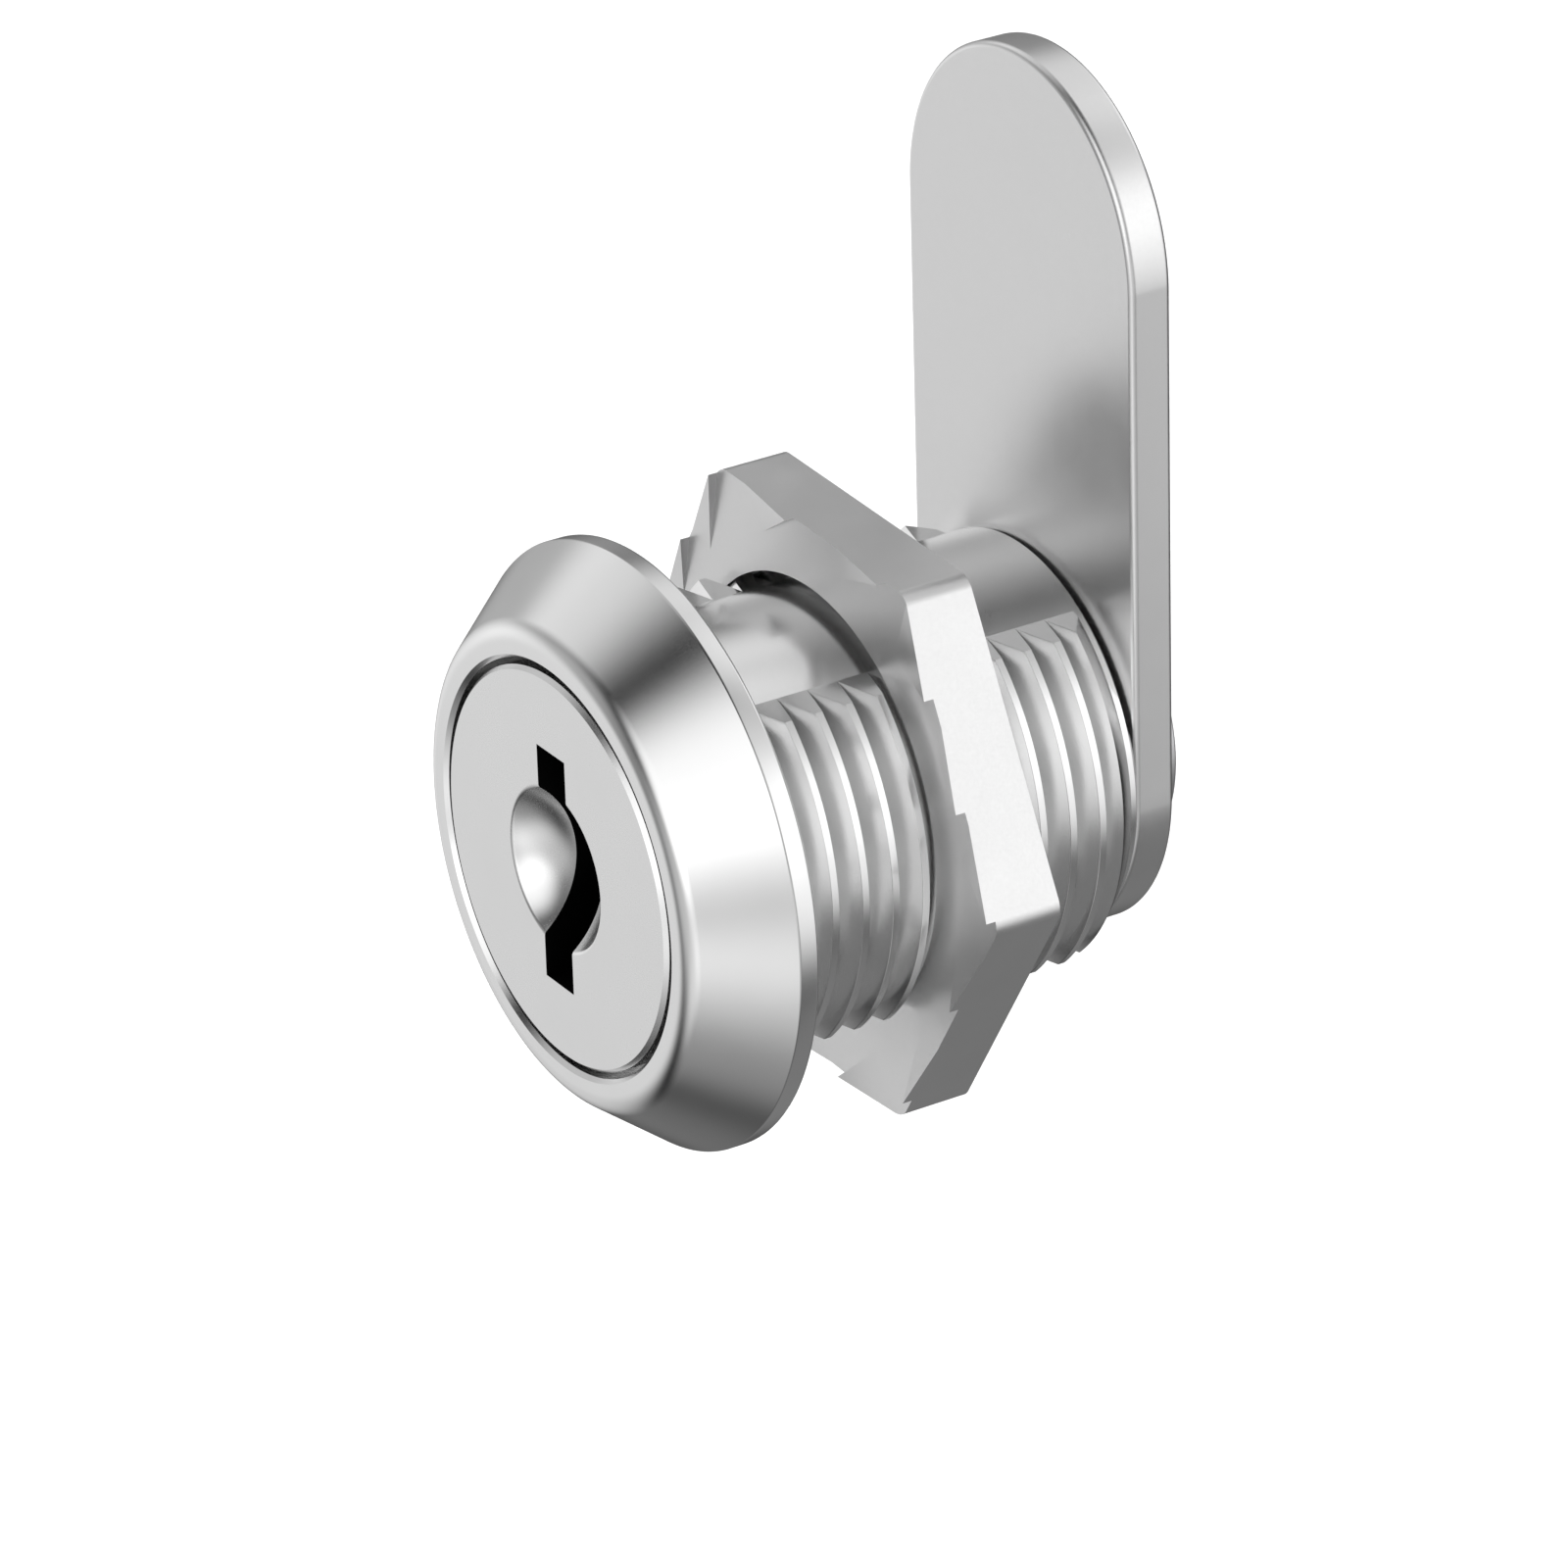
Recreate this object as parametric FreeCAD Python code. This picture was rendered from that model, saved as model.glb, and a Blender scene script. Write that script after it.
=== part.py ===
"""Cam lock: die-cast threaded housing, wafer plug, straight flat cam and hexagonal fixing nut.

Frame: the lock's axis is Y and the key goes in along +Y.  The origin is on the axis at the back face of
the head, which bears on the panel.  The cam points up, along +Z, when the lock is at rest.
All lengths are in millimetres and all angles in degrees.
"""
import FreeCAD, Part
import math
import os

Vector = FreeCAD.Vector
ORIGIN = Vector(0, 0, 0)
AXIS = Vector(0, 1, 0)

# Head
face_y = -4.14
rim_radius = 11.8
rim_thickness = 0.94
ring_radius = 9.25
ring_fillet = 0.55
recess_radius = 8.09
recess_depth = 2.14
edge_break = 0.18
seat_inner_radius = 9.30
seat_relief_depth = 0.15

# Threaded barrel
barrel_end_y = 16.58
core_radius = 7.99
crest_radius = 9.15
thread_half_height = 6.73
thread_pitch = 1.31
thread_start_y = 0.41
thread_turns = 12
crest_flat = 0.20
thread_end_taper = 1.9

# Plug
flange_radius = 7.84
plug_radius = 6.20
bore_radius = 6.25
flange_clearance = 0.04
plug_shoulder_y = 16.72
tail_half_width = 3.30
tail_length = 1.60
keyway_width = 1.99
keyway_height = 9.60
keyway_end_y = 12.0
dimple_radius = 3.20
dimple_depth = 1.63
dimple_lip_radius = 0.22

# Quarter-turn stop between the flange and the recess floor
turn_range = 90.0
stop_inner_radius = 6.45
stop_outer_radius = 7.70
stop_height = 1.05
stop_angle = 180.0
stop_half_width = 10.0
stop_clearance_angle = 0.6
stop_clearance = 0.06

# Wafers and their springs
wafer_count = 8
first_wafer_y = 0.60
wafer_pitch = 1.50
wafer_thickness = 0.95
wafer_half_width = 3.30
wafer_radius = 6.15
wafer_window_half_width = 1.50
wafer_window_half_height = 4.00
wafer_lift = 0.80
ear_reach = 4.85
ear_top = 0.40
ear_bottom = -0.55
slot_clearance = 0.05
channel_radius = 7.15
spring_x = 4.15
spring_pocket_radius = 0.70
spring_radius = 0.52
spring_wire_radius = 0.11
spring_turns = 5
pocket_floor_z = -3.10

# Retaining wafer
retainer_y = 13.0
retainer_half_width = 2.20
retainer_bottom_z = -1.00
retainer_radius = 6.85
retainer_press = 0.80
retainer_groove_radius = 7.00
retainer_pocket_floor_z = -4.60

# Cam, washer and screw
cam_half_width = 7.50
cam_reach = 20.16
cam_heel = 0.40
cam_thickness = 1.78
cam_edge_radius = 0.25
star_half_width = 3.36
washer_outer_radius = 5.80
washer_inner_radius = 2.65
washer_thickness = 1.30
washer_gap_angle = 8.0
screw_head_radius = 4.40
screw_head_height = 1.40
screw_rim_height = 0.60
screw_shaft_radius = 2.45
screw_hole_radius = 2.50
screw_end_y = 14.70
screw_hole_end_y = 14.20
cross_width = 1.10
cross_length = 4.60
cross_depth = 1.60

# Nut
nut_front_y = 7.08
nut_thickness = 2.80
nut_across_flats = 22.1
nut_turned = 2.4
nut_corner_radius = 0.80
nut_minor_radius = 8.62
nut_bore_chamfer = 0.25
nut_thread_clearance = 0.10
tooth_height = 0.40
tooth_apex_radius = 10.15
tooth_apex_lag = 13.0
tooth_start_lag = 16.5
tooth_overrun = 1.6
tooth_root = 0.2
teeth_on_odd_sides = (24.0, 55.0)
teeth_on_even_sides = (17.5, 39.5, 58.5)


def cylinder(radius, start_y, end_y):
    """Solid cylinder about the lock's axis."""
    return Part.makeCylinder(radius, end_y - start_y, Vector(0, start_y, 0), AXIS)


def block(low, high):
    """Box between two opposite corners, each given as (x, y, z)."""
    size = [high[i] - low[i] for i in range(3)]
    return Part.makeBox(size[0], size[1], size[2], Vector(*low))


def turned(edges):
    """Solid of revolution about the lock's axis from a closed outline in the XY plane."""
    return Part.Face(Part.Wire(edges)).revolve(ORIGIN, AXIS, 360)


def polyline(points):
    """Edges through (radius, y) points, closed back to the first one."""
    corners = [Vector(radius, y, 0) for radius, y in points]
    corners.append(corners[0])
    return [Part.LineSegment(a, b).toShape() for a, b in zip(corners, corners[1:])]


def ring_sector(inner, outer, start_y, end_y, first_angle, sweep):
    """Part of a ring, with angles counted from +Z towards +X."""
    outline = polyline([(inner, start_y), (outer, start_y), (outer, end_y), (inner, end_y)])
    face = Part.Face(Part.Wire(outline))
    face.rotate(ORIGIN, AXIS, first_angle - 90)
    return face.revolve(ORIGIN, AXIS, sweep)


def fuse_all(shapes):
    """One solid from several touching ones."""
    return shapes[0].multiFuse(shapes[1:]).removeSplitter()


def single(shape):
    """The only solid in a boolean result."""
    solids = shape.Solids
    if len(solids) != 1:
        raise ValueError("expected one solid, found %d" % len(solids))
    return solids[0]


def half_turned(shape):
    """Copy turned by half a turn about the lock's axis."""
    copy = shape.copy()
    copy.rotate(ORIGIN, AXIS, 180)
    return copy


def wafer_y(index):
    """Middle plane of a wafer, counted from the key side."""
    return first_wafer_y + wafer_pitch * index


def on_wafer_side(shape, index):
    """Every second wafer faces the other way."""
    if index % 2:
        return half_turned(shape)
    return shape


def thread_rings(crest, root, extra):
    """Thread ridges as closed rings; extra widens each ridge on both sides."""
    base = core_radius - 0.4
    slope = (thread_pitch - crest_flat) / 2 / (crest_radius - root)
    rings = []
    for turn in range(thread_turns):
        middle = thread_start_y + thread_pitch * (turn + 0.5)
        top = crest_flat / 2 + extra - slope * (crest - crest_radius)
        foot = top + slope * (crest - base)
        outline = [(base, middle - foot), (crest, middle - top), (crest, middle + top), (base, middle + foot)]
        rings.append(turned(polyline(outline)))
    return rings


def make_head_blank():
    """Ring, cone and rim of the head, solid across the middle."""
    rim_y = -rim_thickness
    cone = Vector(rim_radius - edge_break, rim_y, 0) - Vector(ring_radius, face_y, 0)
    cone.normalize()
    ring_flat_end = Vector(ring_radius - ring_fillet, face_y, 0)
    cone_start = Vector(ring_radius, face_y, 0) + cone * ring_fillet
    bulge = (ring_flat_end + cone_start) * 0.25 + Vector(ring_radius, face_y, 0) * 0.5
    edges = [
        Part.LineSegment(Vector(0, face_y, 0), ring_flat_end).toShape(),
        Part.Arc(ring_flat_end, bulge, cone_start).toShape(),
        Part.LineSegment(cone_start, Vector(rim_radius - edge_break, rim_y, 0)).toShape(),
        Part.LineSegment(Vector(rim_radius - edge_break, rim_y, 0),
                         Vector(rim_radius, rim_y + edge_break, 0)).toShape(),
        Part.LineSegment(Vector(rim_radius, rim_y + edge_break, 0), Vector(rim_radius, 0, 0)).toShape(),
        Part.LineSegment(Vector(rim_radius, 0, 0), ORIGIN).toShape(),
        Part.LineSegment(ORIGIN, Vector(0, face_y, 0)).toShape(),
    ]
    return turned(edges)


def make_barrel_blank():
    """Barrel with thread on its two sides only; top and bottom stay smooth."""
    core = cylinder(core_radius, 0, barrel_end_y)
    threads = fuse_all(thread_rings(crest_radius, core_radius, 0))
    trim_size = 2 * crest_radius
    band = block((-trim_size, 0, -thread_half_height), (trim_size, barrel_end_y, thread_half_height))
    taper_start = barrel_end_y - thread_end_taper
    envelope = turned(polyline([
        (0, 0), (crest_radius + 1, 0), (crest_radius + 1, taper_start - 1),
        (core_radius + 0.05, barrel_end_y - 0.2), (0, barrel_end_y - 0.2)]))
    threads = threads.common(band).common(envelope)
    return core.fuse(threads).removeSplitter()


def make_housing():
    """Head and barrel with bore, flange recess, seat relief, stop groove, wafer channels and groove."""
    floor_y = face_y + recess_depth
    body = make_head_blank().fuse(make_barrel_blank()).removeSplitter()
    body = body.cut(cylinder(bore_radius, face_y - 1, barrel_end_y + 1))
    body = body.cut(cylinder(recess_radius, face_y - 1, floor_y))
    relief = cylinder(seat_inner_radius, -seat_relief_depth, 0)
    body = body.cut(relief.cut(cylinder(core_radius, -seat_relief_depth, 0)))
    body = body.cut(turned(polyline([
        (recess_radius - 0.1, face_y), (recess_radius + edge_break, face_y),
        (recess_radius, face_y + edge_break), (recess_radius - 0.1, face_y + edge_break)])))
    groove_start = stop_angle - stop_half_width - stop_clearance_angle
    groove_sweep = turn_range + 2 * (stop_half_width + stop_clearance_angle)
    body = body.cut(ring_sector(stop_inner_radius - stop_clearance, stop_outer_radius + stop_clearance,
                                floor_y - 0.1, floor_y + stop_height + stop_clearance,
                                groove_start, groove_sweep))
    half = wafer_half_width + slot_clearance * 2
    first_y = wafer_y(0) - wafer_pitch / 2
    last_y = wafer_y(wafer_count - 1) + wafer_pitch / 2
    cross = block((-half, first_y, -channel_radius), (half, last_y, channel_radius)).fuse(
        block((-channel_radius, first_y, -half), (channel_radius, last_y, half)))
    body = body.cut(cross.common(cylinder(channel_radius, first_y, last_y)))
    groove_half = wafer_thickness / 2 + slot_clearance * 2
    return single(body.cut(cylinder(retainer_groove_radius, retainer_y - groove_half,
                                    retainer_y + groove_half)))


def make_wafer_slot(index):
    """Slot for one wafer, with room for its ear and a blind pocket for its spring."""
    half = wafer_thickness / 2 + slot_clearance
    y = wafer_y(index)
    reach = plug_radius + 1
    side = wafer_half_width + slot_clearance
    slot = block((-side, y - half, -reach), (side, y + half, reach))
    ear_room = block((side - 0.1, y - half, ear_bottom - slot_clearance),
                     (ear_reach + slot_clearance, y + half, ear_top + wafer_lift + 2 * slot_clearance))
    pocket = Part.makeCylinder(spring_pocket_radius, ear_bottom - pocket_floor_z,
                               Vector(spring_x, y, pocket_floor_z), Vector(0, 0, 1))
    return on_wafer_side(fuse_all([slot, ear_room, pocket]), index)


def make_retainer_slot():
    """Radial slot for the retaining wafer with its spring pocket below."""
    half = wafer_thickness / 2 + slot_clearance
    side = retainer_half_width + slot_clearance
    floor_z = retainer_bottom_z - retainer_press - slot_clearance
    slot = block((-side, retainer_y - half, floor_z), (side, retainer_y + half, plug_radius + 1))
    pocket = Part.makeCylinder(spring_pocket_radius, retainer_bottom_z - retainer_pocket_floor_z,
                               Vector(0, retainer_y, retainer_pocket_floor_z), Vector(0, 0, 1))
    return slot.fuse(pocket)


def make_flange():
    """Plug flange with the round finger dimple and its soft lip turned into the face."""
    back_y = face_y + recess_depth - flange_clearance
    ball_radius = (dimple_radius ** 2 + dimple_depth ** 2) / (2 * dimple_depth)
    ball_y = face_y + dimple_depth - ball_radius
    lip_centre_y = face_y + dimple_lip_radius
    lip_centre_x = math.sqrt((ball_radius + dimple_lip_radius) ** 2 - (lip_centre_y - ball_y) ** 2)
    lip_angle = math.atan2(lip_centre_y - ball_y, lip_centre_x)
    bottom = Vector(0, ball_y + ball_radius, 0)
    half_way = (lip_angle + math.pi / 2) / 2
    on_ball = Vector(ball_radius * math.cos(half_way), ball_y + ball_radius * math.sin(half_way), 0)
    ball_end = Vector(ball_radius * math.cos(lip_angle), ball_y + ball_radius * math.sin(lip_angle), 0)
    lip_end = Vector(lip_centre_x, face_y, 0)
    lip_turn = (lip_angle + math.pi * 1.5 + math.pi) / 2
    on_lip = Vector(lip_centre_x + dimple_lip_radius * math.cos(lip_turn),
                    lip_centre_y + dimple_lip_radius * math.sin(lip_turn), 0)
    edges = [Part.Arc(bottom, on_ball, ball_end).toShape(), Part.Arc(ball_end, on_lip, lip_end).toShape()]
    corners = [lip_end, Vector(flange_radius - edge_break, face_y, 0),
               Vector(flange_radius, face_y + edge_break, 0), Vector(flange_radius, back_y, 0),
               Vector(0, back_y, 0), bottom]
    edges += [Part.LineSegment(a, b).toShape() for a, b in zip(corners, corners[1:])]
    return turned(edges)


def make_plug():
    """Flanged plug with keyway, wafer slots, stop lug, square tail and screw hole."""
    floor_y = face_y + recess_depth
    shaft = cylinder(plug_radius, floor_y - flange_clearance, plug_shoulder_y)
    tail = block((-tail_half_width, plug_shoulder_y, -tail_half_width),
                 (tail_half_width, plug_shoulder_y + tail_length, tail_half_width))
    lug = ring_sector(stop_inner_radius, stop_outer_radius, floor_y - flange_clearance,
                      floor_y + stop_height, stop_angle - stop_half_width, 2 * stop_half_width)
    body = fuse_all([make_flange(), shaft, tail, lug])
    body = body.cut(block((-keyway_width / 2, face_y - 1, -keyway_height / 2),
                          (keyway_width / 2, keyway_end_y, keyway_height / 2)))
    for index in range(wafer_count):
        body = body.cut(make_wafer_slot(index))
    body = body.cut(make_retainer_slot())
    return single(body.cut(cylinder(screw_hole_radius, screw_hole_end_y, plug_shoulder_y + tail_length + 1)))


def make_wafer(index):
    """Plate with a window for the key blade and an ear on one side for its spring."""
    half = wafer_thickness / 2
    y = wafer_y(index)
    disc = cylinder(wafer_radius, y - half, y + half)
    plate = disc.common(block((-wafer_half_width, y - half, -wafer_radius),
                              (wafer_half_width, y + half, wafer_radius)))
    ear = block((wafer_half_width - 0.5, y - half, ear_bottom), (ear_reach, y + half, ear_top))
    window = block((-wafer_window_half_width, y - 1, -wafer_window_half_height),
                   (wafer_window_half_width, y + 1, wafer_window_half_height))
    return single(on_wafer_side(plate.fuse(ear).removeSplitter().cut(window), index))


def make_spring(x, y, bottom_z, top_z):
    """Round-wire compression spring standing along Z, built from tilted half turns."""
    half_turns = 2 * spring_turns
    rise = (top_z - bottom_z - 2 * spring_wire_radius) / half_turns
    tilt = math.atan2(rise, 2 * spring_radius)
    radius = math.hypot(spring_radius, rise / 2)
    pieces = []
    for step in range(half_turns):
        side = 1 if step % 2 == 0 else -1
        centre = Vector(x, y, bottom_z + spring_wire_radius + rise * (step + 0.5))
        normal = Vector(side * math.sin(tilt), 0, math.cos(tilt))
        start = centre + Vector(side * math.cos(tilt), 0, -math.sin(tilt)) * radius
        profile = Part.Face(Part.Wire(Part.makeCircle(spring_wire_radius, start, Vector(0, 1, 0))))
        pieces.append(profile.revolve(centre, normal, 180))
    return single(fuse_all(pieces))


def make_wafer_spring(index):
    """Spring between the pocket floor and the wafer's ear."""
    coil = make_spring(spring_x, wafer_y(index), pocket_floor_z + 0.02, ear_bottom - 0.02)
    return on_wafer_side(coil, index)


def make_retaining_wafer():
    """Plate that stands out of the plug into the housing's groove and keeps the plug in."""
    half = wafer_thickness / 2
    disc = cylinder(retainer_radius, retainer_y - half, retainer_y + half)
    return single(disc.common(block((-retainer_half_width, retainer_y - half, retainer_bottom_z),
                                    (retainer_half_width, retainer_y + half, retainer_radius))))


def make_retaining_spring():
    """Spring that pushes the retaining wafer outwards."""
    return make_spring(0, retainer_y, retainer_pocket_floor_z + 0.02, retainer_bottom_z - 0.02)


def make_star_hole():
    """Eight-point hole: two squares, one turned by an eighth of a turn."""
    start_y = plug_shoulder_y - 1
    end_y = plug_shoulder_y + cam_thickness + 1
    square = block((-star_half_width, start_y, -star_half_width), (star_half_width, end_y, star_half_width))
    other = square.copy()
    other.rotate(ORIGIN, AXIS, 45)
    return square.fuse(other)


def make_cam():
    """Straight flat cam with full-radius ends and softened edges, its heel a little below the axis."""
    start_y = plug_shoulder_y
    end_y = plug_shoulder_y + cam_thickness
    bar = block((-cam_half_width, start_y, -cam_heel), (cam_half_width, end_y, cam_reach))
    upper_end = cylinder(cam_half_width, start_y, end_y)
    lower_end = upper_end.copy()
    upper_end.translate(Vector(0, 0, cam_reach))
    lower_end.translate(Vector(0, 0, -cam_heel))
    blank = fuse_all([bar, lower_end, upper_end])
    outline = [edge for edge in blank.Edges
               if abs(edge.BoundBox.YMax - edge.BoundBox.YMin) < 0.01]
    blank = blank.makeFillet(cam_edge_radius, outline)
    return single(blank.cut(make_star_hole()))


def make_lock_washer():
    """Split spring washer between the cam and the screw head."""
    start_y = plug_shoulder_y + cam_thickness
    return single(ring_sector(washer_inner_radius, washer_outer_radius, start_y,
                              start_y + washer_thickness, washer_gap_angle, 360 - washer_gap_angle))


def make_cam_screw():
    """Domed cross-recess screw that holds the cam on the plug's tail."""
    seat_y = plug_shoulder_y + cam_thickness + washer_thickness
    rim_y = seat_y + screw_rim_height
    top_y = seat_y + screw_head_height
    dome_middle = Vector(screw_head_radius * math.cos(math.radians(45)),
                         rim_y + (top_y - rim_y) * math.sin(math.radians(45)), 0)
    edges = [
        Part.LineSegment(Vector(0, seat_y, 0), Vector(screw_head_radius, seat_y, 0)).toShape(),
        Part.LineSegment(Vector(screw_head_radius, seat_y, 0), Vector(screw_head_radius, rim_y, 0)).toShape(),
        Part.Arc(Vector(screw_head_radius, rim_y, 0), dome_middle, Vector(0, top_y, 0)).toShape(),
        Part.LineSegment(Vector(0, top_y, 0), Vector(0, seat_y, 0)).toShape(),
    ]
    head = turned(edges)
    shaft = cylinder(screw_shaft_radius, screw_end_y, seat_y)
    body = head.fuse(shaft).removeSplitter()
    half_width = cross_width / 2
    half_length = cross_length / 2
    floor_y = top_y - cross_depth
    body = body.cut(block((-half_width, floor_y, -half_length), (half_width, top_y + 1, half_length)))
    return single(body.cut(block((-half_length, floor_y, -half_width), (half_length, top_y + 1, half_width))))


def polar(radius, angle, y):
    """Point at an angle counted from +Z towards +X."""
    turn = math.radians(angle)
    return Vector(radius * math.sin(turn), y, radius * math.cos(turn))


def edge_radius(angle):
    """Distance from the axis to the nut's hexagon at an angle counted from its first corner."""
    return nut_across_flats / 2 / math.cos(math.radians(angle % 60 - 30))


def make_tooth(first_corner, offset):
    """Raised ratchet tooth: a ramp that climbs to the nut's edge and ends in a steep wall."""
    crest_angle = first_corner + offset
    apex = polar(tooth_apex_radius, crest_angle - tooth_apex_lag, nut_front_y)
    start = polar(edge_radius(offset - tooth_start_lag), crest_angle - tooth_start_lag, nut_front_y)
    foot = polar(edge_radius(offset), crest_angle, nut_front_y)
    start = apex + (start - apex) * tooth_overrun
    foot = apex + (foot - apex) * tooth_overrun
    peak = foot - AXIS * (tooth_height * tooth_overrun)
    down = AXIS * tooth_root
    outlines = [
        [apex + down, start + down, foot + down],
        [apex, start, peak],
        [apex + down, start + down, start, apex],
        [start + down, foot + down, peak, start],
        [apex + down, foot + down, peak, apex],
    ]
    faces = [Part.Face(Part.makePolygon(points + points[:1])) for points in outlines]
    solid = Part.Solid(Part.Shell(faces))
    if solid.Volume < 0:
        solid.reverse()
    return solid


def make_nut():
    """Thin hexagonal nut with ratchet teeth on the face towards the head."""
    end_y = nut_front_y + nut_thickness
    tall = nut_thickness + 2 * tooth_height
    first_corner = nut_turned - 30
    points = [polar(edge_radius(0), first_corner + 60 * side, end_y - tall) for side in range(7)]
    envelope = Part.Face(Part.makePolygon(points)).extrude(AXIS * tall)
    corners = [edge for edge in envelope.Edges
               if abs(edge.BoundBox.YMax - edge.BoundBox.YMin) > nut_thickness / 2]
    envelope = envelope.makeFillet(nut_corner_radius, corners)
    reach = nut_across_flats
    blank = block((-reach, nut_front_y, -reach), (reach, end_y, reach))
    for side in range(6):
        for offset in (teeth_on_odd_sides, teeth_on_even_sides)[side % 2]:
            blank = blank.fuse(make_tooth(first_corner + 60 * side, offset))
    blank = blank.common(envelope)
    blank = blank.cut(cylinder(nut_minor_radius, nut_front_y - 1, end_y + 1))
    root_radius = crest_radius + nut_thread_clearance
    blank = blank.cut(fuse_all(thread_rings(root_radius, core_radius, nut_thread_clearance)))
    for y, side in ((nut_front_y, 1), (end_y, -1)):
        wide = nut_minor_radius + nut_bore_chamfer
        blank = blank.cut(turned(polyline([
            (nut_minor_radius - 1, y - side), (wide + 1, y - side),
            (nut_minor_radius - 1, y + side * (1 + nut_bore_chamfer))])))
    return single(blank.removeSplitter())


def make_parts():
    """Every node of the lock by name."""
    parts = {
        "housing": make_housing(),
        "plug": make_plug(),
        "retaining_wafer": make_retaining_wafer(),
        "retaining_spring": make_retaining_spring(),
        "cam": make_cam(),
        "lock_washer": make_lock_washer(),
        "cam_screw": make_cam_screw(),
        "nut": make_nut(),
    }
    for index in range(wafer_count):
        parts["wafer_%d" % (index + 1)] = make_wafer(index)
        parts["wafer_spring_%d" % (index + 1)] = make_wafer_spring(index)
    return parts


def main():
    """Write one STEP file for each node."""
    os.makedirs("parts", exist_ok=True)
    for name, shape in make_parts().items():
        if not shape.isValid():
            raise ValueError(name + " is not a valid solid")
        shape.exportStep("parts/" + name + ".step")
        print("%-18s %9.2f mm3" % (name, shape.Volume))


main()
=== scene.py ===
import logging
import math
from dataclasses import dataclass
from enum import Enum
from typing import Callable, Sequence

import bpy
from mathutils import Matrix, Vector


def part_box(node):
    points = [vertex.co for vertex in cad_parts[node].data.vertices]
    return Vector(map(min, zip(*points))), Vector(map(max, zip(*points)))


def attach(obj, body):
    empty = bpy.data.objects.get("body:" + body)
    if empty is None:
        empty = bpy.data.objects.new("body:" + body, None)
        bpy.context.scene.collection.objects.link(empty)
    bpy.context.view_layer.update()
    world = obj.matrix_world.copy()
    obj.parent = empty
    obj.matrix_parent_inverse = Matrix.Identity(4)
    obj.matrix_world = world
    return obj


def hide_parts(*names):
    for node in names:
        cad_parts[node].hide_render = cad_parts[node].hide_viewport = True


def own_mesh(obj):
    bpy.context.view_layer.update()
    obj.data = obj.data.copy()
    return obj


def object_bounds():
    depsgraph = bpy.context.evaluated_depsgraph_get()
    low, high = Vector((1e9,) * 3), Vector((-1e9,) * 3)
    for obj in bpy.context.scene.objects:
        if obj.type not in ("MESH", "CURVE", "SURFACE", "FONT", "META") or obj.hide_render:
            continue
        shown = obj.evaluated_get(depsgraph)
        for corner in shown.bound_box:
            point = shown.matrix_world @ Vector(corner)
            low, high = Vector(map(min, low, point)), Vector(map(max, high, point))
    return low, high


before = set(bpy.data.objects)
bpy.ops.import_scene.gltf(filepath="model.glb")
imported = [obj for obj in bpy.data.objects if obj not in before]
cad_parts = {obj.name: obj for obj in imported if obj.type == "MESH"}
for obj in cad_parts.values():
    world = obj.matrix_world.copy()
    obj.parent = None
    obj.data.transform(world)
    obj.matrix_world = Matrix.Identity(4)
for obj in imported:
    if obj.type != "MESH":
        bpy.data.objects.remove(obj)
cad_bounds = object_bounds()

MM = 0.001
WELD = 0.0005  # vertices closer than this are one
OVERRUN = 1.0  # how far a cutter runs past what it cuts
Outline = list[tuple[float, float]]
log = logging.getLogger("cam_lock")


class BooleanKind(Enum):
    """How one solid works on another."""

    UNION = "UNION"
    CUT = "DIFFERENCE"
    KEEP_COMMON = "INTERSECT"


class Body(Enum):
    """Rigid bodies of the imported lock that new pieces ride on."""

    HOUSING = "housing"
    PLUG = "plug"
    NUT = "nut"


# ---------------------------------------------------------------- modelling bench


def deselect() -> None:
    """Leave object mode empty-handed."""
    if bpy.context.object and bpy.context.object.mode != "OBJECT":
        bpy.ops.object.mode_set(mode="OBJECT")
    bpy.ops.object.select_all(action="DESELECT")


def take(obj: bpy.types.Object) -> None:
    """Make one object the only selected and active one.

    Args:
        obj: The object to work on.
    """
    deselect()
    obj.select_set(True)
    bpy.context.view_layer.objects.active = obj


def cad_span(node: str) -> tuple[Vector, Vector]:
    """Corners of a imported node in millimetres.

    Args:
        node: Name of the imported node.

    Returns:
        Its lowest and its highest corner.
    """
    low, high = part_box(node)
    return low / MM, high / MM


def arc(centre: tuple[float, float], radius: float, start: float, end: float, count: int) -> Outline:
    """Points along an arc of an outline.

    Args:
        centre: Arc centre as (distance from the axis, y).
        radius: Arc radius.
        start: First angle in degrees.
        end: Last angle in degrees.
        count: Number of points, both ends included.

    Returns:
        The points in order.
    """
    angles = [math.radians(start + (end - start) * step / (count - 1)) for step in range(count)]
    return [(centre[0] + radius * math.cos(a), centre[1] + radius * math.sin(a)) for a in angles]


def polar(radius: float, angle: float, y: float) -> Vector:
    """Point at an angle in degrees counted from +Z towards +X."""
    turn = math.radians(angle)
    return Vector((radius * math.sin(turn), y, radius * math.cos(turn)))


def clean_up(obj: bpy.types.Object) -> None:
    """Merge doubled vertices and point every face outwards.

    Args:
        obj: A mesh object in millimetres.
    """
    take(obj)
    bpy.ops.object.mode_set(mode="EDIT")
    bpy.ops.mesh.select_all(action="SELECT")
    bpy.ops.mesh.remove_doubles(threshold=WELD)
    bpy.ops.mesh.normals_make_consistent(inside=False)
    bpy.ops.object.mode_set(mode="OBJECT")


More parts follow.
